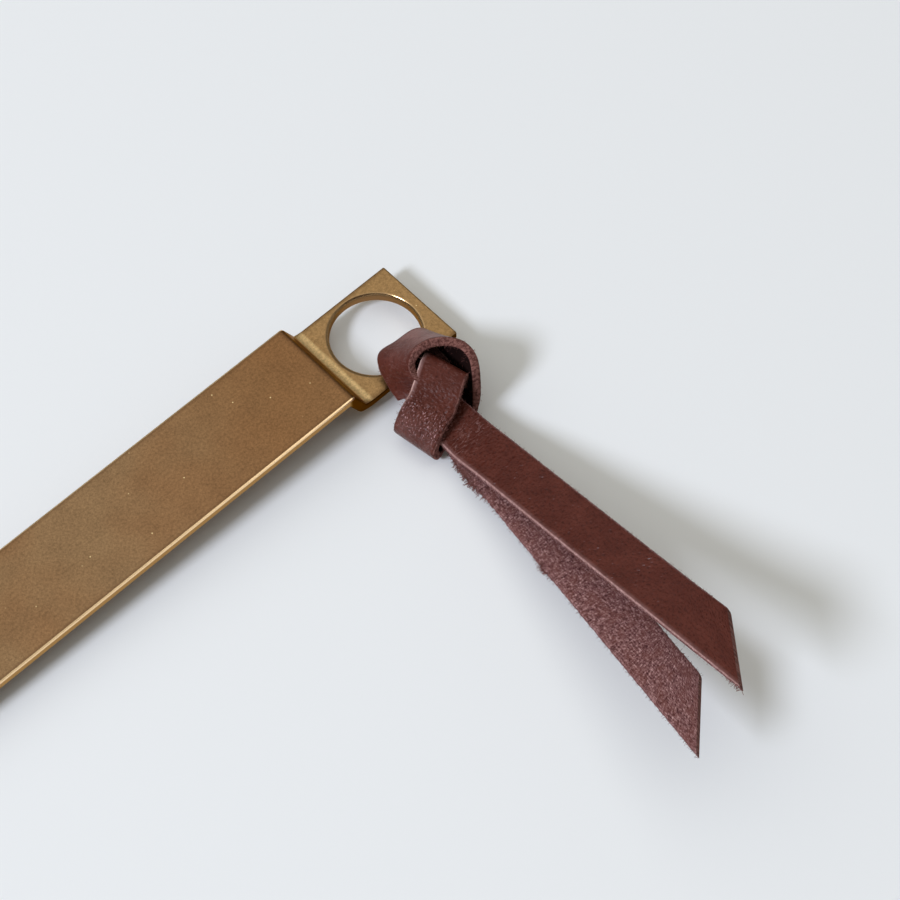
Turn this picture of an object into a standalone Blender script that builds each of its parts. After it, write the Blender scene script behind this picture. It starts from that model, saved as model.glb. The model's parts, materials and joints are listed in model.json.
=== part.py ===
"""Brass straight ruler with a stepped hanging tab and a knotted leather thong.

Metres, +Z up. The ruler lies on a table at z = 0 as it rests: its far end on the
table and its tab held up by the leather under the rim. The blade runs along X with
the tab at +X, and the thong leaves the tab towards -Y.
"""

import math

import bmesh
import bpy
from mathutils import Matrix, Vector

OBJECT_NAME = "brass_ruler_with_thong"

# Blade
BLADE_WIDTH = 0.0200
BLADE_THICKNESS = 0.0020
BODY_LENGTH = 0.2000
EDGE_ROUND = 0.00035
EDGE_ROUND_STEPS = 2

# Step from the body down to the tab: a steep riser, then a shallow curved toe
STEP_DROP = 0.0057
STEP_ANGLE = math.radians(64.0)
STEP_TOP_RADIUS = 0.0010
TOE_RADIUS = 0.0060
TOE_ANGLE = math.radians(22.0)
ARC_STEPS = 6

# Tab, measured from the foot of the riser, and its hole
TAB_LENGTH = 0.0225
HOLE_RADIUS = 0.0086
HOLE_TO_TAB_END = 0.0112
HOLE_SIDES = 72

# Leather strip
STRAP_WIDTH = 0.0090
STRAP_THICKNESS = 0.0017
STRAP_GAP = 0.00035
STRAP_COLUMNS = 4
LOOP_ROWS = 5
WRAP_ROWS = 6
TAIL_ROWS = 3

# Loop round the rim
RIM_CLEARANCE = 0.0003
LOOP_BULGE = 0.0004

# Knot, measured out from the rim along -Y and across along X
KNOT_START = 0.0082
LEGS_ACROSS = -0.0012
FOLD_ROOM = 0.0004
WRAP_SLANT = 0.18
WRAP_RISE = 0.0040
WRAP_TOP_ACROSS = 0.0004
WRAP_TOP_OUT = 0.0093
WRAP_TUCK = 0.0026
RING_LEAN = math.radians(37.0)
RING_ROOM = 0.0008
RING_START = (-0.0057, 0.0058, 0.0038)
RING_START_EDGE = (0.0022, -0.0008, 0.0027)
RING_LEFT = (-0.0044, 0.0012, 0.0070)
RING_LEFT_EDGE = (0.0012, 0.0028, 0.0019)
RING_BEND_ACROSS = 0.0042
RING_BEND_RISE = 0.0020
RING_RIGHT_ACROSS = 0.0062
RING_CORNER_LEAN = (-0.05, 0.62, 0.78)
RING_SIDE_LEAN = (0.20, 0.42, 0.88)
RING_TURN_LEAN = (0.0, 0.95, 0.30)
TURN_RADIUS = 0.0025
TURN_BACK = 0.0012

# Tails
UPPER_TAIL_LENGTH = 0.0715
UPPER_TAIL_RISE = math.radians(17.0)
UPPER_TAIL_TURN = math.radians(5.2)
LOWER_TAIL_LENGTH = 0.0728
LOWER_TAIL_RISE = math.radians(11.0)
LOWER_TAIL_TURN = math.radians(12.2)
TAIL_TIP_SLANT = 0.0056

# Places in the blade's own frame: x = 0 at the top of the step, z = 0 on the body's top
TOE_RISE = TOE_RADIUS * (1.0 - math.cos(TOE_ANGLE))
RISER_FOOT = (STEP_DROP - TOE_RISE) / math.tan(STEP_ANGLE)
TOE_END = RISER_FOOT + TOE_RADIUS * math.sin(TOE_ANGLE)
TAB_END = RISER_FOOT + TAB_LENGTH
HOLE_X = TAB_END - HOLE_TO_TAB_END

# Rim under the strip, where the thong swings
RIM_INNER = math.sqrt(HOLE_RADIUS ** 2 - (STRAP_WIDTH / 2.0) ** 2)
RIM_HALF_WIDTH = (BLADE_WIDTH / 2.0 - RIM_INNER) / 2.0
PIVOT = Vector((HOLE_X, -(BLADE_WIDTH / 2.0 + RIM_INNER) / 2.0, -STEP_DROP - BLADE_THICKNESS / 2.0))
LOOP_INNER = math.hypot(RIM_HALF_WIDTH, BLADE_THICKNESS / 2.0) + RIM_CLEARANCE
LOOP_MIDDLE = LOOP_INNER + STRAP_THICKNESS / 2.0
LOOP_OUTER = LOOP_INNER + STRAP_THICKNESS

# Middles of the four layers of leather in the knot, as heights over the pivot
LAYER = STRAP_THICKNESS + STRAP_GAP
UNDER_LEVEL = -LOOP_MIDDLE
LOWER_LEVEL = UNDER_LEVEL + LAYER
UPPER_LEVEL = LOWER_LEVEL + LAYER
OVER_LEVEL = UPPER_LEVEL + LAYER
KNOT_MIDDLE = KNOT_START + STRAP_WIDTH / 2.0
KNOT_END = KNOT_START + STRAP_WIDTH + STRAP_GAP

# The far end of the body touches the table when the blade leans by this much
REST_HEIGHT = LOOP_OUTER
FAR_BOTTOM = Vector((-BODY_LENGTH, 0.0, -BLADE_THICKNESS)) - PIVOT
REST_REACH = math.hypot(FAR_BOTTOM.x, FAR_BOTTOM.z)
REST_LEAN = math.asin(REST_HEIGHT / REST_REACH) + math.atan2(FAR_BOTTOM.z, -FAR_BOTTOM.x)


def clear_scene():
    for obj in list(bpy.data.objects):
        bpy.data.objects.remove(obj, do_unlink=True)


def new_collection(name):
    collection = bpy.data.collections.new(name)
    bpy.context.scene.collection.children.link(collection)
    return collection


def new_material(name, colour, roughness, metallic):
    material = bpy.data.materials.new(name)
    material.use_nodes = True
    shader = material.node_tree.nodes["Principled BSDF"]
    shader.inputs["Base Color"].default_value = (*colour, 1.0)
    shader.inputs["Roughness"].default_value = roughness
    shader.inputs["Metallic"].default_value = metallic
    material.diffuse_color = (*colour, 1.0)
    return material


def new_empty(name, collection):
    empty = bpy.data.objects.new(name, None)
    empty.empty_display_size = STRAP_WIDTH
    collection.objects.link(empty)
    return empty


def new_part(name, mesh, collection, material, parent):
    obj = bpy.data.objects.new(name, mesh)
    obj.parent = parent
    obj.data.materials.clear()
    obj.data.materials.append(material)
    collection.objects.link(obj)
    mesh.shade_smooth()
    mesh.set_sharp_from_angle(angle=math.radians(35.0))
    return obj


def arc(centre, radius, start, end):
    """Points on an arc in the XZ plane; the angle runs from straight up towards +X."""
    points = []
    for step in range(ARC_STEPS + 1):
        angle = start + (end - start) * step / ARC_STEPS
        points.append((centre[0] + radius * math.sin(angle), centre[1] + radius * math.cos(angle)))
    return points


def blade_outline():
    """Side view of the bar, step and tab, with one thickness all along."""
    down = math.pi
    top_centre = (-STEP_TOP_RADIUS * math.tan(STEP_ANGLE / 2.0), -STEP_TOP_RADIUS)
    toe_centre = (TOE_END, -STEP_DROP + TOE_RADIUS)
    foot = (RISER_FOOT, -STEP_DROP + TOE_RISE)
    under_corner = BLADE_THICKNESS * math.tan(STEP_ANGLE / 2.0)

    top = [(-BODY_LENGTH, 0.0)]
    top += arc(top_centre, STEP_TOP_RADIUS, 0.0, STEP_ANGLE)
    top += arc(toe_centre, TOE_RADIUS, down + TOE_ANGLE, down)
    top += [(TAB_END, -STEP_DROP)]

    bottom = [(-BODY_LENGTH, -BLADE_THICKNESS), (-under_corner, -BLADE_THICKNESS)]
    bottom += arc(foot, BLADE_THICKNESS, down + STEP_ANGLE, down + TOE_ANGLE)
    bottom += arc(toe_centre, TOE_RADIUS + BLADE_THICKNESS, down + TOE_ANGLE, down)[1:]
    bottom += [(TAB_END, -STEP_DROP - BLADE_THICKNESS)]
    return top + bottom[::-1]


def extruded_outline(name, outline, width, collection):
    """A closed outline in the XZ plane, filled and extruded along Y, as a welded mesh."""
    curve = bpy.data.curves.new(name + "_outline", "CURVE")
    curve.dimensions = "2D"
    curve.fill_mode = "BOTH"
    curve.extrude = width / 2.0
    spline = curve.splines.new("POLY")
    spline.points.add(len(outline) - 1)
    for point, (x, z) in zip(spline.points, outline):
        point.co = (x, z, 0.0, 1.0)
    spline.use_cyclic_u = True
    obj = bpy.data.objects.new(curve.name, curve)
    collection.objects.link(obj)
    depsgraph = bpy.context.evaluated_depsgraph_get()
    mesh = bpy.data.meshes.new_from_object(obj.evaluated_get(depsgraph))
    mesh.name = name
    bpy.data.objects.remove(obj, do_unlink=True)

    shape = bmesh.new()
    shape.from_mesh(mesh)
    bmesh.ops.remove_doubles(shape, verts=shape.verts, dist=1e-6)
    bmesh.ops.dissolve_limit(shape, angle_limit=math.radians(1.0), verts=shape.verts, edges=shape.edges)
    shape.transform(Matrix.Rotation(math.pi / 2.0, 4, "X"))
    bmesh.ops.recalc_face_normals(shape, faces=shape.faces)
    shape.to_mesh(mesh)
    shape.free()
    return mesh


def build_blade(parts, cutters, material, parent):
    mesh = extruded_outline("ruler_blade", blade_outline(), BLADE_WIDTH, parts)
    mesh.transform(Matrix.Translation(-PIVOT))
    blade = new_part("ruler_blade", mesh, parts, material, parent)
    blade.rotation_euler = (0.0, -REST_LEAN, 0.0)

    bpy.ops.mesh.primitive_cylinder_add(
        vertices=HOLE_SIDES, radius=HOLE_RADIUS, depth=4.0 * BLADE_THICKNESS)
    hole = bpy.context.object
    hole.name = "hole_cutter"
    hole.location = Vector((HOLE_X, 0.0, PIVOT.z)) - PIVOT
    hole.parent = blade
    hole.hide_render = True
    hole.display_type = "WIRE"
    for collection in list(hole.users_collection):
        collection.objects.unlink(hole)
    cutters.objects.link(hole)

    cut = blade.modifiers.new("hanging_hole", "BOOLEAN")
    cut.operation = "DIFFERENCE"
    cut.object = hole
    rounding = blade.modifiers.new("rounded_edges", "BEVEL")
    rounding.width = EDGE_ROUND
    rounding.segments = EDGE_ROUND_STEPS
    rounding.limit_method = "ANGLE"
    rounding.angle_limit = math.radians(75.0)
    rounding.use_clamp_overlap = False
    return blade


def at(across, out, up):
    """A place in the knot: across along +X, out from the rim along -Y, up along +Z."""
    return Vector((across, -out, up))


def smooth_run(points, lengths, rows):
    """A smooth curve through the points, whose spans have the given lengths, in rows per span."""
    slopes = [(end - start) / length for start, end, length in zip(points, points[1:], lengths)]
    headings = [slopes[0]]
    for before, after, length_before, length_after in zip(slopes, slopes[1:], lengths, lengths[1:]):
        headings.append((before * length_after + after * length_before) / (length_before + length_after))
    headings.append(slopes[-1])
    run = []
    for span, length in enumerate(lengths):
        start = points[span]
        end = points[span + 1]
        leave = headings[span] * length
        arrive = headings[span + 1] * length
        for row in range(rows):
            u = row / rows
            run.append(start + leave * u + (3.0 * (end - start) - 2.0 * leave - arrive) * u ** 2
                       + (2.0 * (start - end) + leave + arrive) * u ** 3)
    run.append(points[-1].copy())
    return run


def build_strap(name, stations, rows, parts, material, parent, origin=Vector()):
    """A strip of leather through stations of (middle, vector from the middle to one edge)."""
    places = [middle - origin for middle, edge in stations]
    lengths = [(end - start).length for start, end in zip(places, places[1:])]
    middles = smooth_run(places, lengths, rows)
    edges = smooth_run([edge for middle, edge in stations], lengths, rows)
    surface = bmesh.new()
    grid = []
    for middle, edge in zip(middles, edges):
        line = []
        for column in range(STRAP_COLUMNS + 1):
            share = 2.0 * column / STRAP_COLUMNS - 1.0
            line.append(surface.verts.new(middle + edge * share))
        grid.append(line)
    for line, following in zip(grid, grid[1:]):
        for column in range(STRAP_COLUMNS):
            surface.faces.new((line[column], line[column + 1], following[column + 1], following[column]))
    mesh = bpy.data.meshes.new(name)
    surface.to_mesh(mesh)
    surface.free()

    strap = new_part(name, mesh, parts, material, parent)
    strap.location = origin
    leather = strap.modifiers.new("leather_thickness", "SOLIDIFY")
    leather.thickness = STRAP_THICKNESS
    leather.offset = 0.0
    leather.use_even_offset = True
    return strap


def loop_stations():
    """The fold round the rim, from the end of its lower leg to the end of its upper leg."""
    edge = at(STRAP_WIDTH / 2.0, 0.0, 0.0)
    bulge = LOOP_MIDDLE + LOOP_BULGE
    corner = math.sqrt(0.5)
    half_way = (LOOP_MIDDLE + KNOT_START) / 2.0
    places = [
        at(LEGS_ACROSS, KNOT_END, LOWER_LEVEL),
        at(LEGS_ACROSS, KNOT_MIDDLE, LOWER_LEVEL),
        at(LEGS_ACROSS, KNOT_START, LOWER_LEVEL),
        at(LEGS_ACROSS / 2.0, half_way, (LOWER_LEVEL + UNDER_LEVEL) / 2.0),
        at(0.0, LOOP_MIDDLE / 2.0, UNDER_LEVEL),
        at(0.0, 0.0, UNDER_LEVEL),
        at(0.0, -LOOP_MIDDLE * corner, -LOOP_MIDDLE * corner),
        at(0.0, -bulge, 0.0),
        at(0.0, -bulge * corner, bulge * corner),
        at(0.0, 0.0, bulge),
        at(LEGS_ACROSS / 2.0, half_way, (UPPER_LEVEL + LOOP_MIDDLE) / 2.0),
        at(LEGS_ACROSS, KNOT_START, UPPER_LEVEL),
        at(LEGS_ACROSS, KNOT_MIDDLE, UPPER_LEVEL),
        at(LEGS_ACROSS, KNOT_END, UPPER_LEVEL),
    ]
    return [(place, edge) for place in places]


def wrap_stations():
    """The turn that makes the knot: a leaning ring, under both legs, a fold, over and in."""
    half = STRAP_WIDTH / 2.0
    ring_clear = LOOP_OUTER + LOOP_BULGE + RING_ROOM + STRAP_THICKNESS / 2.0
    fold_radius = (OVER_LEVEL - UNDER_LEVEL) / 2.0
    fold_level = (OVER_LEVEL + UNDER_LEVEL) / 2.0
    slanted = at(WRAP_SLANT, 1.0, 0.0).normalized()
    fold_across = LEGS_ACROSS - half - half * slanted.x - FOLD_ROOM
    turn_across = LEGS_ACROSS + half
    over_top = at(WRAP_TOP_ACROSS, WRAP_TOP_OUT, OVER_LEVEL + WRAP_RISE)
    over_fold = at(fold_across, KNOT_MIDDLE, OVER_LEVEL)

    def leaning(across, lean, along):
        """On the far side of the ring, clear of the loop by the same gap at any lean."""
        away = at(0.0, -math.sin(lean), math.cos(lean)) * ring_clear
        slope = at(0.0, math.cos(lean), math.sin(lean))
        return (at(across, 0.0, 0.0) + away + slope * along, slope * half)

    def standing(across, out, up, edge):
        """On the right side of the ring, with the given lean of its top edge."""
        return (at(across, out, up), at(*edge).normalized() * half)

    def bending(centre, radius, level, degrees, back, edge):
        """On a round bend that starts set back from the knot's middle, towards the rim."""
        angle = math.radians(degrees)
        across = centre + radius * math.cos(angle)
        up = level + radius * math.sin(angle)
        return (at(across, KNOT_MIDDLE - back * math.cos(angle) ** 2, up), edge)

    def turning(degrees, lean):
        """On the bend at the right, from the side of the ring to the layer underneath."""
        edge = at(*lean).normalized() * half
        return bending(turn_across, TURN_RADIUS, UNDER_LEVEL + TURN_RADIUS, degrees, TURN_BACK, edge)

    def folding(degrees):
        """On the bend at the left, from the layer underneath to the one on top."""
        return bending(fold_across, fold_radius, fold_level, degrees, 0.0, slanted * half)

    return [
        (at(*RING_START), at(*RING_START_EDGE)),
        (at(*RING_LEFT), at(*RING_LEFT_EDGE)),
        leaning(0.0, RING_LEAN, half),
        leaning(RING_BEND_ACROSS, RING_LEAN, half + RING_BEND_RISE),
        standing(RING_RIGHT_ACROSS, KNOT_START - half, UPPER_LEVEL + half, RING_CORNER_LEAN),
        standing(RING_RIGHT_ACROSS, KNOT_START, UPPER_LEVEL + half, RING_SIDE_LEAN),
        turning(0.0, RING_TURN_LEAN),
        turning(-45.0, (0.0, 1.0, 0.0)),
        turning(-90.0, (0.0, 1.0, 0.0)),
        (at(turn_across - TURN_RADIUS / 2.0, KNOT_MIDDLE, UNDER_LEVEL), at(0.0, half, 0.0)),
        (at(fold_across + fold_radius / 2.0, KNOT_MIDDLE, UNDER_LEVEL), slanted * half),
        folding(-90.0),
        folding(-135.0),
        folding(-180.0),
        folding(-225.0),
        (over_fold, slanted * half),
        (over_fold.lerp(over_top, 0.5), slanted * half),
        (over_top, slanted * half),
        (over_top + at(0.6, 0.0, 0.0) * WRAP_TUCK, slanted * half),
        (over_top + at(1.0, 0.0, -0.5) * WRAP_TUCK, slanted * half),
        (over_top + at(1.0, 0.0, -1.2) * WRAP_TUCK, slanted * half),
    ]


def tail_stations(level, length, rise, turn):
    """A straight rising tail with a slanted tip, its root square to the leg it continues."""
    root = at(LEGS_ACROSS, KNOT_END + STRAP_GAP, level)
    start = root + at(0.0, STRAP_THICKNESS, 0.0)
    along = at(-math.sin(turn) * math.cos(rise), math.cos(turn) * math.cos(rise), math.sin(rise))
    side = at(math.cos(turn), math.sin(turn), 0.0) * (STRAP_WIDTH / 2.0)
    root_edge = at(STRAP_WIDTH / 2.0, 0.0, 0.0)
    run = length - STRAP_THICKNESS
    stations = [(root, root_edge), (start, root_edge)]
    for share in (0.15, 0.45, 0.75):
        stations.append((start + along * run * share, side))
    stations.append((start + along * run, side - along * TAIL_TIP_SLANT))
    return stations


def settle(root, parts):
    """Put the middle of the whole object over the origin and its lowest point at z = 0."""
    bpy.context.view_layer.update()
    depsgraph = bpy.context.evaluated_depsgraph_get()
    places = []
    for obj in parts.objects:
        if obj.type == "MESH":
            solid = obj.evaluated_get(depsgraph)
            places += [solid.matrix_world @ vert.co for vert in solid.data.vertices]
    low = Vector([min(place[axis] for place in places) for axis in range(3)])
    high = Vector([max(place[axis] for place in places) for axis in range(3)])
    root.location -= Vector(((low.x + high.x) / 2.0, (low.y + high.y) / 2.0, low.z))
    bpy.context.view_layer.update()


def build():
    clear_scene()
    parts = new_collection(OBJECT_NAME)
    cutters = new_collection(OBJECT_NAME + "_cutters")
    brass = new_material("brass", (0.38, 0.24, 0.10), 0.36, 1.0)
    leather = new_material("leather", (0.085, 0.036, 0.031), 0.62, 0.0)

    rim = new_empty("rim_pivot", parts)
    build_blade(parts, cutters, brass, rim)
    build_strap("thong_loop", loop_stations(), LOOP_ROWS, parts, leather, rim)
    build_strap("thong_wrap", wrap_stations(), WRAP_ROWS, parts, leather, rim)

    upper_hinge = at(LEGS_ACROSS, KNOT_END + STRAP_GAP, UPPER_LEVEL + STRAP_THICKNESS / 2.0)
    upper = tail_stations(UPPER_LEVEL, UPPER_TAIL_LENGTH, UPPER_TAIL_RISE, UPPER_TAIL_TURN)
    build_strap("thong_upper_tail", upper, TAIL_ROWS, parts, leather, rim, upper_hinge)

    lower_hinge = at(LEGS_ACROSS, KNOT_END + STRAP_GAP, LOWER_LEVEL - STRAP_THICKNESS / 2.0)
    lower = tail_stations(LOWER_LEVEL, LOWER_TAIL_LENGTH, LOWER_TAIL_RISE, LOWER_TAIL_TURN)
    build_strap("thong_lower_tail", lower, TAIL_ROWS, parts, leather, rim, lower_hinge)

    settle(rim, parts)


build()
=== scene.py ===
import json
import math

import bmesh
import bpy
from mathutils import Matrix, Vector, noise


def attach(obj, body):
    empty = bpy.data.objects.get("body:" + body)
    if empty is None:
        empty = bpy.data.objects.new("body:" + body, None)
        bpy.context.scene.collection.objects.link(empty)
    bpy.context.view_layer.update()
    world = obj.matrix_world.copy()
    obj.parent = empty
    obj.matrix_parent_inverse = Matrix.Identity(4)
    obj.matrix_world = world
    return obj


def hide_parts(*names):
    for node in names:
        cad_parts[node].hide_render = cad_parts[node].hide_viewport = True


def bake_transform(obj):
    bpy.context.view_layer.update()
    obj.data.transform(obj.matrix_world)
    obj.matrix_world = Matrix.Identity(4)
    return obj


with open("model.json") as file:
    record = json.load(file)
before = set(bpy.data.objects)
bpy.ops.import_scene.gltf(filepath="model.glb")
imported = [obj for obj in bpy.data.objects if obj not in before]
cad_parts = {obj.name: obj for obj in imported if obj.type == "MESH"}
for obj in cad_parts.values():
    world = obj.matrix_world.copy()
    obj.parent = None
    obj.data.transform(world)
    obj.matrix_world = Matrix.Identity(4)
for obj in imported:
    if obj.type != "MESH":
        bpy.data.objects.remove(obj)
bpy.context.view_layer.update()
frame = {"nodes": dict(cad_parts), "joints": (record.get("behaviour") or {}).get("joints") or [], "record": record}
scene = bpy.context.scene
scene.view_settings.view_transform = "Standard"
mm = 0.001

joints = {joint["name"]: joint for joint in frame["joints"]}
mounts = {mount["name"]: mount for mount in frame["record"]["mounts"]}
print("frame loaded")

# The blade's own frame: x = 0 at the top of the step, z = 0 on the body's top face
faceToStep = 100.0  # from the top face's mount to the step
bladeUp = Vector(mounts["top_face"]["axis"])
bladeAlong = Vector((bladeUp.z, 0.0, -bladeUp.x))
bladeSide = Vector((0.0, 1.0, 0.0))
bladeOrigin = Vector(mounts["top_face"]["pos_m"]) + bladeAlong * faceToStep * mm
bladeTurn = Matrix((bladeAlong, bladeSide, bladeUp)).transposed()

# The knot's frame: across along X, out from the rim along -Y, up along Z
pivot = Vector(joints["thong_swing"]["pos_m"])


def inKnot(place):
    across, out, up = place
    return pivot + Vector((across, -out, up)) * mm


# Camera, turned and placed in the blade's frame
view = {"azimuth": -42.6, "elevation": 60.7, "roll": -0.9, "right": 23.8, "down": 15.7, "away": 450.0,
        "lens": 100.0, "sensor": 36.0, "clip": 0.01}


def addCamera(values):
    azimuth = math.radians(values["azimuth"])
    elevation = math.radians(values["elevation"])
    roll = math.radians(values["roll"])
    back = Vector((math.sin(azimuth) * math.cos(elevation), -math.cos(azimuth) * math.cos(elevation),
                   math.sin(elevation)))
    sideways = Vector((math.cos(azimuth), math.sin(azimuth), 0.0))
    upright = back.cross(sideways)
    right = sideways * math.cos(roll) + upright * math.sin(roll)
    up = upright * math.cos(roll) - sideways * math.sin(roll)
    place = (right * values["right"] - up * values["down"] + back * values["away"]) * mm
    data = bpy.data.cameras.new("camera")
    data.lens = values["lens"]
    data.sensor_width = values["sensor"]
    data.clip_start = values["clip"]
    camera = bpy.data.objects.new("camera", data)
    scene.collection.objects.link(camera)
    turn = bladeTurn @ Matrix((right, up, back)).transposed()
    camera.matrix_world = Matrix.Translation(bladeOrigin + bladeTurn @ place) @ turn.to_4x4()
    scene.camera = camera


addCamera(view)
print("camera placed")

# Light: a cool key from the left of the picture, a wide panel overhead, a low even fill and a small glint
light = {"fill": (0.24, 0.24, 0.22),
         "key": {"from": (-0.997, 0.078), "height": 40.0, "away": 3.0, "size": 0.73, "power": 66.0,
                 "colour": (0.80, 0.865, 1.0)},
         "panel": {"from": (-0.20, 0.98), "height": 66.0, "away": 2.4, "size": 4.8, "power": 36.2,
                   "colour": (1.0, 1.0, 0.96)},
         "glint": {"from": (0.70, -0.72), "height": 61.0, "away": 3.0, "size": 0.85, "power": 2.0,
                   "colour": (1.0, 0.97, 0.92)}}


def addLight(values):
    world = bpy.data.worlds.new("fill")
    world.use_nodes = True
    world.node_tree.nodes["Background"].inputs["Color"].default_value = (*values["fill"], 1.0)
    scene.world = world
    for name in ("key", "panel", "glint"):
        lamp = values[name]
        height = math.radians(lamp["height"])
        direction = Vector((*lamp["from"], 0.0)) * math.cos(height) + Vector((0.0, 0.0, math.sin(height)))
        data = bpy.data.lights.new(name, "AREA")
        data.shape = "DISK"
        data.size = lamp["size"]
        data.energy = lamp["power"]
        data.color = lamp["colour"]
        holder = bpy.data.objects.new(name, data)
        scene.collection.objects.link(holder)
        holder.location = pivot + direction * lamp["away"]
        holder.rotation_euler = direction.to_track_quat("Z", "Y").to_euler()


addLight(light)


# Node helpers: an input is set by its name, or by its number as i0, i1 and so on
def newNode(tree, kind, settings=None, **inputs):
    node = tree.nodes.new(kind)
    for name, value in (settings or {}).items():
        setattr(node, name, value)
    for name, value in inputs.items():
        socket = node.inputs[int(name[1:])] if name[0] == "i" and name[1:].isdigit() else node.inputs[name]
        if isinstance(value, bpy.types.NodeSocket):
            tree.links.new(value, socket)
        else:
            socket.default_value = value
    return node


def calc(tree, operation, first, second=0.0, third=0.0):
    return newNode(tree, "ShaderNodeMath", {"operation": operation}, i0=first, i1=second, i2=third).outputs[0]


def remap(tree, value, fromLow, fromHigh, toLow=0.0, toHigh=1.0, smooth=True):
    settings = {"interpolation_type": "SMOOTHSTEP" if smooth else "LINEAR"}
    ends = {"From Min": fromLow, "From Max": fromHigh, "To Min": toLow, "To Max": toHigh}
    return newNode(tree, "ShaderNodeMapRange", settings, Value=value, **ends).outputs["Result"]


def mixColour(tree, factor, first, second):
    settings = {"data_type": "RGBA", "blend_type": "MIX"}
    return newNode(tree, "ShaderNodeMix", settings, i0=factor, i6=first, i7=second).outputs[2]


def noiseOf(tree, vector, scale, detail, rough, stretch=None):
    if stretch:
        stretched = newNode(tree, "ShaderNodeVectorMath", {"operation": "MULTIPLY"}, i0=vector, i1=stretch)
        vector = stretched.outputs[0]
    field = newNode(tree, "ShaderNodeTexNoise", None, Vector=vector, Scale=scale, Detail=detail,
                    Roughness=rough)
    return field.outputs["Fac"]


# Shared effect: soft patches, from noise over millimetres to a mask between 0 and 1
def mottleNodes():
    tree = bpy.data.node_groups.new("mottle", "ShaderNodeTree")
    tree.interface.new_socket("Place", in_out="INPUT", socket_type="NodeSocketVector")
    for name in ("Scale", "Detail", "Rough", "Low", "High"):
        tree.interface.new_socket(name, in_out="INPUT", socket_type="NodeSocketFloat")
    tree.interface.new_socket("Mask", in_out="OUTPUT", socket_type="NodeSocketFloat")
    given = newNode(tree, "NodeGroupInput").outputs
    field = newNode(tree, "ShaderNodeTexNoise", None, Vector=given["Place"], Scale=given["Scale"],
                    Detail=given["Detail"], Roughness=given["Rough"]).outputs["Fac"]
    ends = {"From Min": given["Low"], "From Max": given["High"]}
    mask = newNode(tree, "ShaderNodeMapRange", {"interpolation_type": "SMOOTHSTEP"}, Value=field, **ends)
    newNode(tree, "NodeGroupOutput", None, Mask=mask.outputs["Result"])
    return tree


mottleTree = mottleNodes()


def mottle(tree, place, scale, detail, rough, low, high):
    group = newNode(tree, "ShaderNodeGroup", {"node_tree": mottleTree}, Place=place, Scale=scale,
                    Detail=detail, Rough=rough, Low=low, High=high)
    return group.outputs["Mask"]


def srgb(red, green, blue):
    def linear(value):
        value = value / 255.0
        return value / 12.92 if value <= 0.04045 else ((value + 0.055) / 1.055) ** 2.4
    return (linear(red), linear(green), linear(blue), 1.0)


def newMaterial(name):
    material = bpy.data.materials.new(name)
    material.use_nodes = True
    return material, material.node_tree, material.node_tree.nodes["Principled BSDF"]


# Floor
floor = {"size": 20.0, "colour": (0.848, 0.850, 0.850, 1.0), "rough": 0.85, "shine": 0.1}


def addFloor(values):
    bpy.ops.mesh.primitive_plane_add(size=values["size"])
    plane = bpy.context.object
    plane.name = "floor"
    material, _, shader = newMaterial("paleFloor")
    shader.inputs["Base Color"].default_value = values["colour"]
    shader.inputs["Roughness"].default_value = values["rough"]
    shader.inputs["Specular IOR Level"].default_value = values["shine"]
    plane.data.materials.append(material)


addFloor(floor)
print("light and floor done")

# Brass: colours, amounts, sizes, and the stretch in millimetres over which each tone comes in or goes
brass = {"body": (0.305, 0.168, 0.081, 1.0), "warm": (0.275, 0.134, 0.054, 1.0),
         "cool": (0.315, 0.192, 0.098, 1.0), "tab": (0.385, 0.230, 0.100, 1.0),
         "strip": (0.80, 0.555, 0.27, 1.0), "arris": (1.0, 0.72, 0.43, 1.0),
         "side": (0.52, 0.32, 0.14, 1.0), "wallShade": (0.30, 0.17, 0.08, 1.0),
         "dark": (0.10, 0.046, 0.020, 1.0), "paintedShadeDark": (0.055, 0.020, 0.005, 1.0),
         "speck": (0.9, 0.68, 0.36, 1.0), "tint": (0.75, 0.50, 0.30, 1.0),
         "rough": 0.36, "roughChange": (-0.03, 0.06), "polish": 0.20, "warmth": 0.75, "clouding": 0.16,
         "paintedStepShade": 0.55, "lineShade": 0.4, "sideShading": 0.95, "rimShine": 0.2, "grainHeight": 0.004,
         "rollDepth": 1.1, "tabDrop": 5.7, "holeX": 13.867, "holeRadius": 8.6, "rimRoll": 0.75,
         "coolScale": 0.045, "cloudScale": 0.16, "grainScale": 2.0, "fineScale": 5.0, "speckScale": 0.55,
         "warmIn": (-45.0, -4.0), "sideShadeIn": (-1.5, -0.5), "stepShadeIn": (-1.4, -0.3), "tabIn": (1.2, 1.4),
         "highlightStripIn": (1.75, 2.05), "tabToneIn": (2.0, 2.6), "highlightStripOut": (3.8, 4.6),
         "lineIn": (8.9, 9.66), "arrisIn": (9.62, 9.68), "sideIn": (9.88, 9.92),
         "arrisLow": (-0.44, -0.36), "arrisHigh": (0.02, 0.06), "wallShadeOut": (0.04, 0.08),
         "rimOut": (0.45, 0.75), "rubbedIn": (-3.0, 4.0), "speckSize": (0.05, 0.09),
         "speckChance": (0.80, 0.86)}


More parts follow.
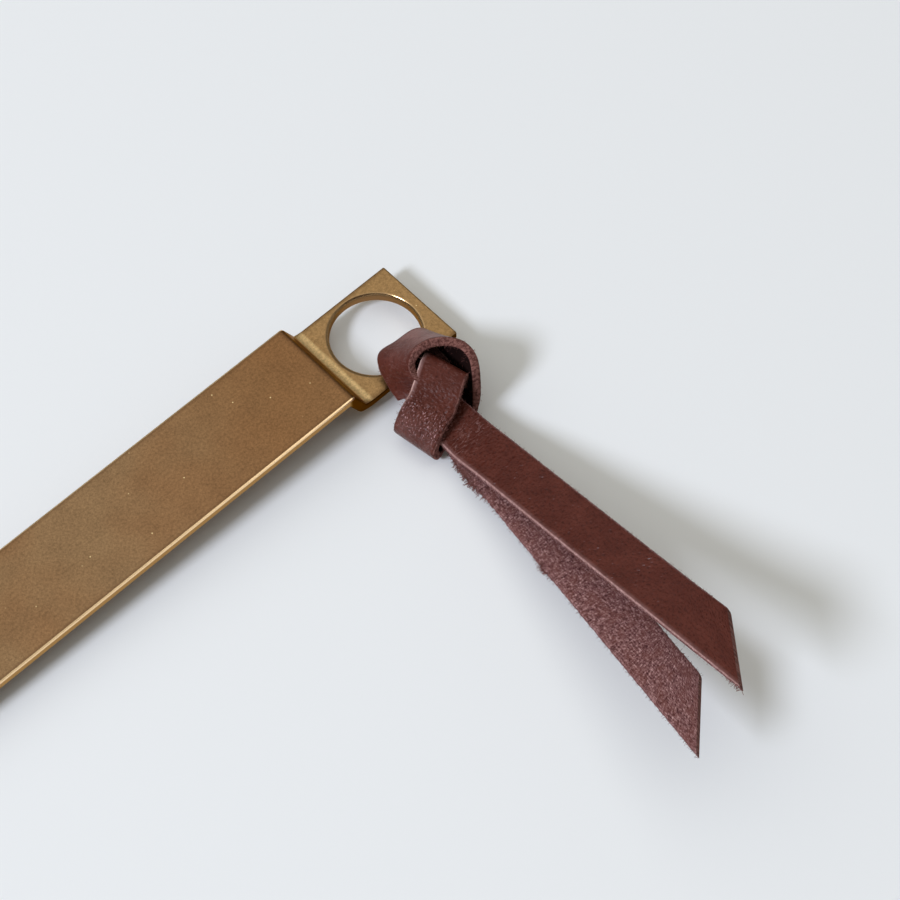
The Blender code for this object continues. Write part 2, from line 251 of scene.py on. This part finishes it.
def brassMaterial(values):
    material, tree, shader = newMaterial("satinBrass")
    place = newNode(tree, "ShaderNodeTexCoord").outputs["Object"]
    spot = newNode(tree, "ShaderNodeMapping", {"vector_type": "TEXTURE"}, Vector=place, Location=bladeOrigin,
                   Rotation=bladeTurn.to_euler(), Scale=(mm, mm, mm)).outputs["Vector"]
    x, y, z = newNode(tree, "ShaderNodeSeparateXYZ", None, Vector=spot).outputs
    away = calc(tree, "ABSOLUTE", y)
    onTab = remap(tree, x, *values["tabIn"])
    onBody = calc(tree, "SUBTRACT", 1.0, onTab)
    depth = calc(tree, "MULTIPLY_ADD", onTab, values["tabDrop"], z)

    # Tarnish clouds, warmer towards the step, painted shade on the body's top just before the step, a bright strip
    # below it painted as a highlight, and a fine grain over all
    cloud = noiseOf(tree, spot, scale=values["cloudScale"], detail=4.0, rough=0.6)
    grain = noiseOf(tree, spot, scale=values["grainScale"], detail=3.0, rough=0.7)
    fine = noiseOf(tree, spot, scale=values["fineScale"], detail=2.0, rough=0.6)
    cooler = mottle(tree, spot, values["coolScale"], detail=2.0, rough=0.5, low=0.38, high=0.62)
    colour = mixColour(tree, cooler, values["body"], values["cool"])
    colour = mixColour(tree, remap(tree, x, *values["warmIn"], 0.0, values["warmth"]), colour, values["warm"])
    clouded = mottle(tree, spot, values["cloudScale"], detail=4.0, rough=0.6, low=0.35, high=0.75)
    colour = mixColour(tree, calc(tree, "MULTIPLY", clouded, values["clouding"]), colour, values["dark"])
    # Painted shade: the body's top darkens into its end edge before the step
    paintedEndShade = remap(tree, x, *values["stepShadeIn"], 0.0, values["paintedStepShade"])
    colour = mixColour(tree, paintedEndShade, colour, values["dark"])
    colour = mixColour(tree, remap(tree, x, *values["tabToneIn"]), colour, values["tab"])
    # Painted highlight: a bright band across the tab just past the step
    highlightStripEnd = remap(tree, x, *values["highlightStripOut"], 1.0, 0.0)
    strip = calc(tree, "MULTIPLY", remap(tree, x, *values["highlightStripIn"]), highlightStripEnd)
    colour = mixColour(tree, strip, colour, values["strip"])
    speckle = calc(tree, "ADD", grain, calc(tree, "MULTIPLY", fine, 0.6))
    tone = remap(tree, speckle, 0.55, 1.05, 0.70, 1.30, False)
    colour = newNode(tree, "ShaderNodeVectorMath", {"operation": "SCALE"}, i0=colour, Scale=tone).outputs[0]

    # Long edges: a line of painted shade, a worn arris lightened further as a painted highlight, then the side in
    # its own tone, painted in shade near black by the step and along the tab
    side = remap(tree, away, *values["sideIn"])
    onTop = calc(tree, "SUBTRACT", 1.0, side)
    # Painted shade: a dark line along the top face's long edges
    edgeShadeLine = calc(tree, "MULTIPLY", remap(tree, away, *values["lineIn"]), onTop)
    colour = mixColour(tree, calc(tree, "MULTIPLY", edgeShadeLine, values["lineShade"]), colour, values["dark"])
    colour = mixColour(tree, side, colour, values["side"])
    # Painted shade on the side, towards near black from the step onwards
    paintedSideShade = calc(tree, "MULTIPLY", side, remap(tree, x, *values["sideShadeIn"], 0.0, values["sideShading"]))
    colour = mixColour(tree, paintedSideShade, colour, values["paintedShadeDark"])
    above = remap(tree, depth, *values["arrisLow"])
    top = calc(tree, "MULTIPLY", above, remap(tree, depth, *values["arrisHigh"], 1.0, 0.0))
    # The arris is worn bare and polished, and its colour is also lightened as a painted highlight
    wornAndHighlighted = calc(tree, "MULTIPLY", remap(tree, away, *values["arrisIn"]), onBody)
    arris = calc(tree, "MULTIPLY", wornAndHighlighted, top)
    colour = mixColour(tree, arris, colour, values["arris"])

    # The hole: a wall painted in shade, and a rolled rim lightened all round as a painted highlight
    fromHole = newNode(tree, "ShaderNodeCombineXYZ", None, X=calc(tree, "SUBTRACT", x, values["holeX"]), Y=y)
    reach = newNode(tree, "ShaderNodeVectorMath", {"operation": "LENGTH"}, i0=fromHole.outputs[0])
    past = calc(tree, "SUBTRACT", reach.outputs["Value"], values["holeRadius"])
    # Painted shade on the hole's wall
    wallShade = calc(tree, "MULTIPLY", remap(tree, past, *values["wallShadeOut"], 1.0, 0.0), onTab)
    colour = mixColour(tree, wallShade, colour, values["wallShade"])
    offWall = calc(tree, "SUBTRACT", onTab, wallShade)
    # Painted highlight: the rim is lightened towards the arris colour
    rim = calc(tree, "MULTIPLY", remap(tree, past, *values["rimOut"], 1.0, 0.0), offWall)
    colour = mixColour(tree, calc(tree, "MULTIPLY", rim, values["rimShine"]), colour, values["arris"])

    # A few bright specks
    specks = newNode(tree, "ShaderNodeTexVoronoi", {"feature": "F1"}, Vector=spot, Scale=values["speckScale"])
    dot = remap(tree, specks.outputs["Distance"], *values["speckSize"], 1.0, 0.0)
    chance = newNode(tree, "ShaderNodeSeparateColor", None, Color=specks.outputs["Color"]).outputs[0]
    bright = calc(tree, "MULTIPLY", dot, remap(tree, chance, *values["speckChance"]))
    colour = mixColour(tree, bright, colour, values["speck"])
    tree.links.new(colour, shader.inputs["Base Color"])
    shader.inputs["Metallic"].default_value = 1.0
    shader.inputs["Specular Tint"].default_value = values["tint"]

    # Polished on the arris and on the far half of the rim
    smoothest, roughest = (values["rough"] + change for change in values["roughChange"])
    rough = remap(tree, cloud, 0.3, 0.7, smoothest, roughest)
    rubbedFrom, rubbedTo = (values["holeX"] + offset for offset in values["rubbedIn"])
    rubbed = calc(tree, "MULTIPLY", rim, remap(tree, x, rubbedFrom, rubbedTo))
    polished = calc(tree, "MAXIMUM", rubbed, arris)
    drop = calc(tree, "MULTIPLY", polished, values["rough"] - values["polish"])
    tree.links.new(calc(tree, "SUBTRACT", rough, drop), shader.inputs["Roughness"])
    inside = calc(tree, "MAXIMUM", calc(tree, "SUBTRACT", values["rimRoll"], past), 0.0)
    rolled = calc(tree, "MULTIPLY", calc(tree, "MULTIPLY", inside, inside), -values["rollDepth"])
    height = calc(tree, "MULTIPLY_ADD", grain, values["grainHeight"], rolled)
    bump = newNode(tree, "ShaderNodeBump", None, Strength=1.0, Distance=mm, Height=height)
    tree.links.new(bump.outputs["Normal"], shader.inputs["Normal"])
    return material


blade = frame["nodes"]["ruler_blade"]
blade.data.materials.clear()
blade.data.materials.append(brassMaterial(brass))
print("brass done")

# Leather: colours and finish, the strip's section, how finely it is divided and how its edges fray
leather = {"grain": srgb(78, 36, 28), "grainLight": srgb(88, 43, 34), "grainDark": srgb(54, 22, 17),
           "pale": srgb(150, 114, 110), "paintedGlint": srgb(204, 158, 158), "flesh": srgb(124, 82, 80),
           "fleshDark": srgb(62, 34, 35), "fleshLight": srgb(206, 166, 161), "fleshWarm": srgb(112, 66, 58),
           "cut": srgb(138, 94, 86), "cutDark": srgb(84, 49, 44), "cutLight": srgb(226, 186, 176),
           "paintedShadeDark": srgb(26, 8, 6), "rough": 0.30, "roughChange": (0.04, -0.12), "mattRough": 0.9,
           "shine": 0.11, "bump": 0.30, "creaseMix": 0.6, "glintMix": 0.6, "warmMix": 0.45, "paleCutMix": 0.8,
           "darkGaps": (0.44, 0.50), "lightTips": (0.51, 0.58), "glintIn": (0.58, 0.68),
           "glintRelief": (1.1, 2.3), "thick": 1.7, "corner": 0.36, "halfWidth": 4.5, "rowLength": 0.35,
           "columns": 14, "edgeSpread": 0.7, "endSpread": 0.3, "frayWide": 2.6, "frayDepth": 2.0,
           "frayFine": 7.0, "fleshFuzz": 0.35, "fuzzAbove": -1.8}


def leatherMaterial(values):
    material, tree, shader = newMaterial("brownLeather")
    strap = newNode(tree, "ShaderNodeUVMap", {"uv_map": "strap"}).outputs["UV"]
    grainSide, cutSide, pale, cleanCutAndFleshShade, crease, relief = (
        newNode(tree, "ShaderNodeAttribute", {"attribute_name": name}).outputs["Fac"]
        for name in ("grain", "cut", "pale", "cleanCutAndFleshShade", "crease", "relief"))

    # Grain side: fine pebbles, darker in the hollows, and paler where the pale attribute says so, which on the
    # knot's ring and fold is painted sheen
    broad = noiseOf(tree, strap, scale=0.22, detail=3.0, rough=0.5)
    pebble = newNode(tree, "ShaderNodeTexVoronoi", {"feature": "SMOOTH_F1"}, Vector=strap, Scale=1.9)
    wrinkle = noiseOf(tree, strap, scale=1.7, detail=4.0, rough=0.65, stretch=(0.8, 1.3, 1.0))
    pebbleHeight = calc(tree, "ADD", calc(tree, "MULTIPLY", pebble.outputs["Distance"], 0.5), wrinkle)
    grainColour = mixColour(tree, remap(tree, broad, 0.35, 0.70), values["grain"], values["grainLight"])
    hollow = remap(tree, pebbleHeight, 0.40, 0.75, 0.65, 0.0)
    grainColour = mixColour(tree, hollow, grainColour, values["grainDark"])
    # On the knot's ring and fold this paler mix is painted sheen
    stretch = calc(tree, "MULTIPLY", pale, remap(tree, broad, 0.30, 0.60, 0.45, 0.9))
    grainColour = mixColour(tree, stretch, grainColour, values["pale"])

    # Creases where the strip has been bent sharply: thin pale lines
    bent = noiseOf(tree, strap, scale=0.7, detail=2.0, rough=0.6, stretch=(1.6, 0.5, 1.0))
    line = remap(tree, calc(tree, "ABSOLUTE", calc(tree, "SUBTRACT", bent, 0.5)), 0.0, 0.02, 1.0, 0.0)
    line = calc(tree, "MULTIPLY", calc(tree, "MULTIPLY", line, crease), values["creaseMix"])
    grainColour = mixColour(tree, line, grainColour, values["pale"])

    # Painted glints on the tops of the puckers
    pucker = noiseOf(tree, strap, scale=1.5, detail=1.0, rough=0.4, stretch=(1.2, 0.9, 1.0))
    pucker = calc(tree, "MULTIPLY_ADD", pebble.outputs["Distance"], 0.4, pucker)
    paintedGlint = noiseOf(tree, strap, scale=2.4, detail=2.0, rough=0.5, stretch=(0.8, 1.5, 1.0))
    puckered = remap(tree, relief, *values["glintRelief"])
    paintedGlint = calc(tree, "MULTIPLY", remap(tree, paintedGlint, *values["glintIn"]), puckered)
    paintedGlint = calc(tree, "MULTIPLY", paintedGlint, values["glintMix"])
    grainColour = mixColour(tree, paintedGlint, grainColour, values["paintedGlint"])

    # Flesh side: matted fibres that lie both ways
    fibreA = noiseOf(tree, strap, scale=1.5, detail=6.0, rough=0.85, stretch=(2.2, 0.7, 1.0))
    fibreB = noiseOf(tree, strap, scale=1.5, detail=6.0, rough=0.85, stretch=(0.7, 2.2, 1.0))
    fibre = calc(tree, "ADD", calc(tree, "MULTIPLY", fibreA, 0.5), calc(tree, "MULTIPLY", fibreB, 0.5))
    filled = remap(tree, fibre, *values["darkGaps"])
    fleshColour = mixColour(tree, filled, values["fleshDark"], values["flesh"])
    fleshColour = mixColour(tree, remap(tree, fibre, *values["lightTips"]), fleshColour, values["fleshLight"])
    patch = noiseOf(tree, strap, scale=0.40, detail=3.0, rough=0.6)
    warmed = remap(tree, patch, 0.42, 0.66, 0.0, values["warmMix"])
    fleshColour = mixColour(tree, warmed, fleshColour, values["fleshWarm"])

    # Cut edges: clean on the knot, as fibrous as the flesh on the tails
    fray = noiseOf(tree, strap, scale=2.2, detail=4.0, rough=0.7)
    cutColour = mixColour(tree, remap(tree, fray, 0.40, 0.60), values["cutDark"], values["cut"])
    cutColour = mixColour(tree, cleanCutAndFleshShade, fleshColour, cutColour)
    # Painted highlight: the lighter cut colour on one cut edge of the knot; the same mix makes the upper tail's
    # near top corner paler
    paleCut = calc(tree, "MULTIPLY", pale, values["paleCutMix"])
    cutColour = mixColour(tree, paleCut, cutColour, values["cutLight"])
    # Painted shade: the flesh side of the knot, and partly of the loop, goes towards near black
    fleshColour = mixColour(tree, cleanCutAndFleshShade, fleshColour, values["paintedShadeDark"])

    colour = mixColour(tree, grainSide, fleshColour, grainColour)
    colour = mixColour(tree, cutSide, colour, cutColour)
    tree.links.new(colour, shader.inputs["Base Color"])
    matt = calc(tree, "MAXIMUM", calc(tree, "SUBTRACT", 1.0, grainSide), cutSide)
    calm, glossy = (values["rough"] + change for change in values["roughChange"])
    gloss = remap(tree, relief, 0.5, 1.8, calm, glossy)
    rough = calc(tree, "MAXIMUM", gloss, calc(tree, "MULTIPLY", matt, values["mattRough"]))
    tree.links.new(rough, shader.inputs["Roughness"])
    shader.inputs["Specular IOR Level"].default_value = values["shine"]

    height = mixColour(tree, grainSide, fibre, calc(tree, "MULTIPLY", pucker, relief))
    bump = newNode(tree, "ShaderNodeBump", None, Strength=1.0, Distance=values["bump"] * mm, Height=height)
    tree.links.new(bump.outputs["Normal"], shader.inputs["Normal"])
    return material


# Stray fibres: a strand of unit length, how it leans and spins, and how many stand on a square metre
strayFibre = {"colour": srgb(128, 84, 78), "rough": 0.9, "shine": 0.1, "start": (0.0, 0.0, -0.1),
              "middle": (0.1, 0.0, 0.5), "end": (0.6, 0.1, 0.9), "radius": 0.055, "steps": 4, "sides": 3,
              "lean": 0.8, "spin": 6.28, "shortest": 0.35, "longest": 1.0, "density": 5.0e6, "length": 0.7,
              "plainLength": 0.6, "fuzzLength": 0.4}


def fibreMaterial(values):
    material, _, shader = newMaterial("leatherFibre")
    shader.inputs["Base Color"].default_value = values["colour"]
    shader.inputs["Roughness"].default_value = values["rough"]
    shader.inputs["Specular IOR Level"].default_value = values["shine"]
    return material


leatherLook = leatherMaterial(leather)
fibreLook = fibreMaterial(strayFibre)


# They stand on the strip where its fuzz attribute says so, and are longer where there is more of it
def fibreNodes(values):
    tree = bpy.data.node_groups.new("strayFibres", "GeometryNodeTree")
    sockets = (("Strip", "INPUT", "NodeSocketGeometry"), ("Density", "INPUT", "NodeSocketFloat"),
               ("Length", "INPUT", "NodeSocketFloat"), ("Seed", "INPUT", "NodeSocketInt"),
               ("Fibre", "INPUT", "NodeSocketMaterial"), ("Strip", "OUTPUT", "NodeSocketGeometry"))
    for name, way, kind in sockets:
        tree.interface.new_socket(name, in_out=way, socket_type=kind)
    given = newNode(tree, "NodeGroupInput").outputs
    fuzz = newNode(tree, "GeometryNodeInputNamedAttribute", {"data_type": "FLOAT"}, Name="fuzz").outputs[0]
    density = calc(tree, "MULTIPLY", fuzz, given["Density"])
    points = newNode(tree, "GeometryNodeDistributePointsOnFaces", None, Mesh=given["Strip"], Density=density,
                     Seed=given["Seed"])
    strand = newNode(tree, "GeometryNodeCurveQuadraticBezier", None, Resolution=values["steps"],
                     Start=values["start"], Middle=values["middle"], End=values["end"])
    profile = newNode(tree, "GeometryNodeCurvePrimitiveCircle", None, Resolution=values["sides"],
                      Radius=values["radius"])
    hair = newNode(tree, "GeometryNodeCurveToMesh", None, Curve=strand.outputs["Curve"],
                   i1=profile.outputs["Curve"])
    lean = values["lean"]
    turn = newNode(tree, "FunctionNodeRandomValue", {"data_type": "FLOAT_VECTOR"}, i0=(-lean, -lean, 0.0),
                   i1=(lean, lean, values["spin"]), Seed=given["Seed"])
    spin = newNode(tree, "FunctionNodeEulerToRotation", None, Euler=turn.outputs[0])
    stand = newNode(tree, "FunctionNodeRotateRotation", {"rotation_space": "LOCAL"},
                    Rotation=points.outputs["Rotation"], i1=spin.outputs[0])
    size = newNode(tree, "FunctionNodeRandomValue", {"data_type": "FLOAT"}, i2=values["shortest"],
                   i3=values["longest"], Seed=given["Seed"])
    share = calc(tree, "MULTIPLY_ADD", fuzz, values["fuzzLength"], values["plainLength"])
    scale = calc(tree, "MULTIPLY", size.outputs[1], calc(tree, "MULTIPLY", given["Length"], share))
    hairs = newNode(tree, "GeometryNodeInstanceOnPoints", None, Points=points.outputs["Points"],
                    Instance=hair.outputs["Mesh"], Rotation=stand.outputs[0], Scale=scale)
    real = newNode(tree, "GeometryNodeRealizeInstances", None, Geometry=hairs.outputs["Instances"])
    dressed = newNode(tree, "GeometryNodeSetMaterial", None, Geometry=real.outputs["Geometry"],
                      Material=given["Fibre"])
    both = tree.nodes.new("GeometryNodeJoinGeometry")
    tree.links.new(dressed.outputs["Geometry"], both.inputs[0])
    tree.links.new(given["Strip"], both.inputs[0])
    newNode(tree, "NodeGroupOutput", None, Strip=both.outputs[0])
    return tree


fibreTree = fibreNodes(strayFibre)


def addFibres(strap, values, seed):
    modifier = strap.modifiers.new("fibres", "NODES")
    modifier.node_group = fibreTree
    given = {"Density": values["density"], "Length": values["length"] * mm, "Seed": seed, "Fibre": fibreLook}
    for item in fibreTree.interface.items_tree:
        if item.in_out == "INPUT" and item.name in given:
            modifier[item.identifier] = given[item.name]
    depsgraph = bpy.context.evaluated_depsgraph_get()
    finished = bpy.data.meshes.new_from_object(strap.evaluated_get(depsgraph))
    strap.modifiers.remove(modifier)
    strap.data = finished


# A smooth run of rows through points, with each heading weighted by the spans beside it
def smoothRun(points, lengths, rowLength):
    slopes = [(end - start) / length for start, end, length in zip(points, points[1:], lengths)]
    headings = [slopes[0]]
    for before, after, one, two in zip(slopes, slopes[1:], lengths, lengths[1:]):
        headings.append((before * two + after * one) / (one + two))
    headings.append(slopes[-1])
    run = []
    for span, length in enumerate(lengths):
        start, end = points[span], points[span + 1]
        leave, arrive = headings[span] * length, headings[span + 1] * length
        count = max(2, round(length / rowLength))
        for row in range(count):
            u = row / count
            run.append(start + leave * u + (3.0 * (end - start) - 2.0 * leave - arrive) * u ** 2
                       + (2.0 * (start - end) + leave + arrive) * u ** 3)
    run.append(points[-1].copy())
    return run


# Places round a strip's section: share of the half width, reach past it, height, grain, cut
def strapSection(values):
    corner = values["corner"]
    columns = values["columns"]
    flat = values["thick"] / 2.0 - corner

    def onCorner(degrees, middle):
        angle = math.radians(degrees)
        return (1.0, corner * math.cos(angle), middle + corner * math.sin(angle), 0.5, 1.0)

    upper = [(2.0 * column / columns - 1.0, 0.0, flat + corner, 1.0, 0.0) for column in range(columns + 1)]
    upper += [onCorner(degrees, flat) for degrees in (60.0, 30.0, 0.0)]
    upper.append((1.0, corner, 0.0, 0.5, 1.0))
    upper += [onCorner(degrees, -flat) for degrees in (0.0, -30.0, -60.0)]
    lower = [(-share, -reach, -height, 1.0 - grain, cut) for share, reach, height, grain, cut in upper]
    return upper + lower


# A strip of leather through stations, each a pair of edges in the knot's millimetres
def makeStrap(name, stations, values, wearAndSheen):
    middles = [(Vector(one) + Vector(two)) / 2.0 for one, two in stations]
    halves = [(Vector(one) - Vector(two)) / 2.0 for one, two in stations]
    lengths = [(end - start).length for start, end in zip(middles, middles[1:])]
    middles = smoothRun(middles, lengths, leather["rowLength"])
    halves = smoothRun(halves, lengths, leather["rowLength"])
    section = strapSection(leather)
    shape = bmesh.new()
    kinds = ("grain", "cut", "pale", "fuzz", "cleanCutAndFleshShade", "crease", "relief")
    layers = {kind: shape.verts.layers.float.new(kind) for kind in kinds}
    rings = []
    spread = {}
    along = 0.0
    last = len(middles) - 1
    for index, (middle, half) in enumerate(zip(middles, halves)):
        before, after = middles[max(index - 1, 0)], middles[min(index + 1, last)]
        heading = (after - before).normalized()
        if index:
            along += (middle - before).length
        side = half.normalized()
        up = side.cross(heading).normalized()
        ring = []
        for share, past, height, grain, cut in section:
            reach = share * (half.length - leather["corner"]) + past
            place = middle + side * reach + up * height
            if index == last:
                place -= heading * height * values["lip"]
            pale, crease, fuzz, relief = wearAndSheen(along, share, 2.0 * height / leather["thick"])
            if cut:
                fray = noise.noise(place * leather["frayWide"]) * leather["frayDepth"]
                fray += noise.noise(place * leather["frayFine"])
                place += side * (math.copysign(1.0, share) * (fray * values["ragged"] * fuzz))
            vert = shape.verts.new(inKnot(place))
            vert[layers["grain"]] = grain if values["grainUp"] else 1.0 - grain
            vert[layers["cut"]] = cut
            vert[layers["pale"]] = pale
            vert[layers["relief"]] = relief
            vert[layers["crease"]] = crease
            vert[layers["cleanCutAndFleshShade"]] = values["cleanCutAndFleshShade"]
            if place.z > leather["fuzzAbove"]:
                vert[layers["fuzz"]] = max(cut, leather["fleshFuzz"] * (1.0 - vert[layers["grain"]])) * fuzz
            spread[vert] = (along, reach + height * leather["edgeSpread"] * cut)
            ring.append(vert)
        rings.append(ring)
    count = len(section)
    for ring, following in zip(rings, rings[1:]):
        for step in range(count):
            beside = (step + 1) % count
            shape.faces.new((ring[step], ring[beside], following[beside], following[step]))
    for ring in (rings[0], rings[-1]):
        cap = [shape.verts.new(vert.co) for vert in ring]
        for vert, source in zip(cap, ring):
            vert[layers["cut"]] = 1.0
            vert[layers["grain"]] = 0.5
            vert[layers["cleanCutAndFleshShade"]] = 1.0
            spread[vert] = (spread[source][0] + leather["endSpread"], spread[source][1])
        shape.faces.new(cap)
    uvLayer = shape.loops.layers.uv.new("strap")
    for face in shape.faces:
        face.smooth = True
        for corner in face.loops:
            corner[uvLayer].uv = spread[corner.vert]
    bmesh.ops.recalc_face_normals(shape, faces=shape.faces)
    mesh = bpy.data.meshes.new(name)
    shape.to_mesh(mesh)
    shape.free()
    mesh.materials.append(leatherLook)
    strap = bpy.data.objects.new(name, mesh)
    scene.collection.objects.link(strap)
    addFibres(strap, strayFibre, values["seed"])
    return strap


def level(across, out, up, halfWidth):
    return ((across + halfWidth, out, up), (across - halfWidth, out, up))


def hump(value, middle, width, height=1.0):
    return height * math.exp(-((value - middle) / width) ** 2)


# A wear function says how pale, creased, frayed and puckered a strip is along it, across it and up its edge; on
# the knot, pale is painted sheen and highlight
# One edge of a strip, the near one of a tail, has a share across it below this
nearEdge = -0.99

# The loop round the rim
rimLoop = {"grainUp": True, "cleanCutAndFleshShade": 0.6, "ragged": 0.10, "lip": 0.0, "seed": 1, "pale": 0.3, "fuzz": 0.4,
           "relief": 0.9}


def loopWear(along, share, high):
    return rimLoop["pale"], 0.0, rimLoop["fuzz"], rimLoop["relief"]


loopStations = [
    level(-1.7, 10.5, -0.77, 3.5), level(-1.0, 8.2, -0.77, 3.7), level(0.0, 5.5, -1.8, 4.2),
    level(0.4, 1.4, -2.8, 4.3), level(0.4, 0.0, -2.8, 4.4), level(0.4, -2.0, -2.0, 4.4),
    level(0.6, -3.3, 0.2, 4.4), level(0.8, -2.6, 2.6, 3.95), level(0.8, 0.0, 3.4, 3.95),
    level(1.05, 2.8, 2.95, 4.05), level(1.0, 5.5, 2.1, 4.1), level(0.0, 8.2, 1.28, 3.2),
    level(-1.2, 10.5, 1.28, 3.8)]
loop = makeStrap("leatherLoop", loopStations, rimLoop, loopWear)
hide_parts("thong_loop")
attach(loop, "knot")

# The turn that makes the knot: a ring, under both legs, a fold, over and in
# Its wear, painted sheen and highlight are given as a place along it, a width and a height
knotTurn = {"grainUp": False, "cleanCutAndFleshShade": 1.0, "ragged": 0.10, "lip": 0.0, "seed": 2,
            "ringSheen": (14.5, 4.5, 0.8), "foldSheen": (48.0, 3.0, 0.2), "edgeHighlight": (58.0, 5.0),
            "crease": 0.3, "fuzz": 0.5, "bareTo": 22.0, "relief": 0.45, "pucker": (50.5, 4.0, 1.8)}


def wrapWearAndSheen(along, share, high):
    # Painted sheen on the ring and on the fold
    pale = hump(along, *knotTurn["ringSheen"]) + hump(along, *knotTurn["foldSheen"])
    # Painted highlight along one cut edge of the last turn
    if abs(share) > -nearEdge:
        pale = hump(along, *knotTurn["edgeHighlight"]) if share < 0.0 else 0.0
    # No fibres on the ring's lower edge, so that none reaches the blade when the thong swings
    fuzz = 0.0 if share < nearEdge and along < knotTurn["bareTo"] else knotTurn["fuzz"]
    return pale, knotTurn["crease"], fuzz, knotTurn["relief"] + hump(along, *knotTurn["pucker"])


wrapStations = [
    ((-0.8, 9.2, 4.9), (-6.6, 4.6, 1.1)),
    ((-2.9, 6.8, 6.6), (-5.7, 1.4, 1.4)),
    ((-2.8, 4.2, 8.4), (-3.7, -3.3, 4.0)),
    ((-1.0, 3.6, 9.9), (-0.4, -2.8, 4.4)),
    ((2.7, 4.7, 10.5), (4.55, -1.85, 4.8)),
    ((5.6, 7.5, 10.2), (6.2, 1.5, 3.0)),
    ((5.9, 10.7, 9.3), (6.0, 5.8, 0.9)),
    ((5.0, 12.6, 7.6), (5.2, 8.7, -0.4)),
    ((4.4, 13.6, 4.6), (5.0, 8.4, -2.0)),
    ((3.8, 14.4, 1.2), (4.1, 7.4, -2.7)),
    ((2.0, 15.4, -2.35), (1.2, 7.4, -2.7)),
    ((-1.5, 16.4, -2.67), (-3.0, 7.8, -2.7)),
    ((-5.6, 16.2, -2.76), (-6.8, 8.2, -2.7)),
    ((-7.9, 17.1, -2.1), (-9.3, 8.2, -1.9)),
    ((-8.9, 17.1, 0.2), (-10.4, 8.0, 0.2)),
    ((-7.5, 16.6, 2.3), (-9.3, 7.7, 2.9)),
    ((-2.3, 15.0, 4.3), (-5.4, 6.6, 5.2)),
    ((1.0, 13.3, 6.4), (-1.6, 4.6, 6.8)),
    ((2.8, 12.3, 7.0), (0.5, 3.6, 7.0)),
    ((3.3, 12.0, 6.2), (1.5, 3.4, 5.9)),
    ((3.2, 11.9, 4.4), (1.9, 3.4, 4.3))]
wrap = makeStrap("leatherKnot", wrapStations, knotTurn, wrapWearAndSheen)
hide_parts("thong_wrap")
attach(wrap, "knot")

# The two tails: rolled a little past the knot, so that the near edge lies lower, and cut at a slant
tails = {"start": (-1.9, 10.6), "startHalf": 3.4, "knotted": 14.5, "rootOut": 19.0,
         "shares": (0.12, 0.45, 0.75, 1.0)}
upper = {"up": 1.28, "inside": -2.7, "half": 4.3, "tilt": 0.42, "settle": 13.0, "root": -2.88, "rise": 17.0,
         "turn": 4.3, "roll": 14.0, "far": 63.9, "near": 76.7, "curl": 0.5, "grainUp": True, "cleanCutAndFleshShade": 0.0,
         "ragged": 0.08, "lip": 0.2, "seed": 3, "corner": 0.35, "cornerAbove": 0.7, "crease": (9.0, 3.0, 0.8),
         "tip": (79.0, 2.5, 1.2), "tipShare": -0.8, "fuzz": 0.3, "relief": 1.1}
lower = {"up": -0.77, "inside": -2.2, "half": 3.6, "tilt": 0.0, "settle": 9.5, "root": -2.3, "rise": 11.0,
         "turn": 11.9, "roll": 10.0, "far": 65.6, "near": 77.8, "curl": 0.0, "grainUp": False, "cleanCutAndFleshShade": 0.0,
         "ragged": 0.14, "lip": 0.25, "seed": 4, "rootTuft": (15.0, 6.0), "midTuft": (40.0, 2.0, 0.8),
         "tuft": 2.2, "fuzz": 0.5, "relief": 1.0}


# The upper tail's near top corner is painted paler, and its tip is frayed
def upperWear(along, share, high):
    corner = upper["corner"] if share < nearEdge and high > upper["cornerAbove"] else 0.0
    tip = hump(along, *upper["tip"]) if share < upper["tipShare"] else 0.0
    return corner, hump(along, *upper["crease"]), upper["fuzz"] + tip, upper["relief"]


# The lower tail is frayed along its near edge, most of all by the knot
def lowerWear(along, share, high):
    tuft = hump(along, *lower["rootTuft"]) + hump(along, *lower["midTuft"])
    return 0.0, 0.0, lower["fuzz"] + (lower["tuft"] * tuft if share < nearEdge else 0.0), lower["relief"]


def tailStations(values):
    rise, turn, roll, settle = (math.radians(values[name]) for name in ("rise", "turn", "roll", "settle"))

    def sideways(angle):
        flat = math.cos(angle)
        return Vector((math.cos(turn) * flat, math.sin(turn) * flat, math.sin(angle))) * leather["halfWidth"]

    along = Vector((-math.sin(turn) * math.cos(rise), math.cos(turn) * math.cos(rise), math.sin(rise)))
    side = sideways(roll)
    settled = sideways(settle)
    root = Vector((values["root"], tails["rootOut"], values["up"]))
    length = (values["far"] + values["near"]) / 2.0
    slant = (values["near"] - values["far"]) / 2.0
    knotted = Vector((values["inside"], tails["knotted"], values["up"]))
    across = Vector((values["half"], 0.0, values["tilt"]))
    stations = [level(*tails["start"], values["up"], tails["startHalf"]),
                (knotted + across, knotted - across), (root + settled, root - settled)]
    for share in tails["shares"]:
        place = root + along * length * share
        place.z += values["curl"] * share ** 4
        skew = along * (slant if share == 1.0 else 0.0)
        stations.append((place + side - skew, place - side + skew))
    return stations


upperTail = makeStrap("leatherUpperTail", tailStations(upper), upper, upperWear)
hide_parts("thong_upper_tail")
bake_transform(upperTail)

lowerTail = makeStrap("leatherLowerTail", tailStations(lower), lower, lowerWear)
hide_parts("thong_lower_tail")
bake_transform(lowerTail)
print("leather done")
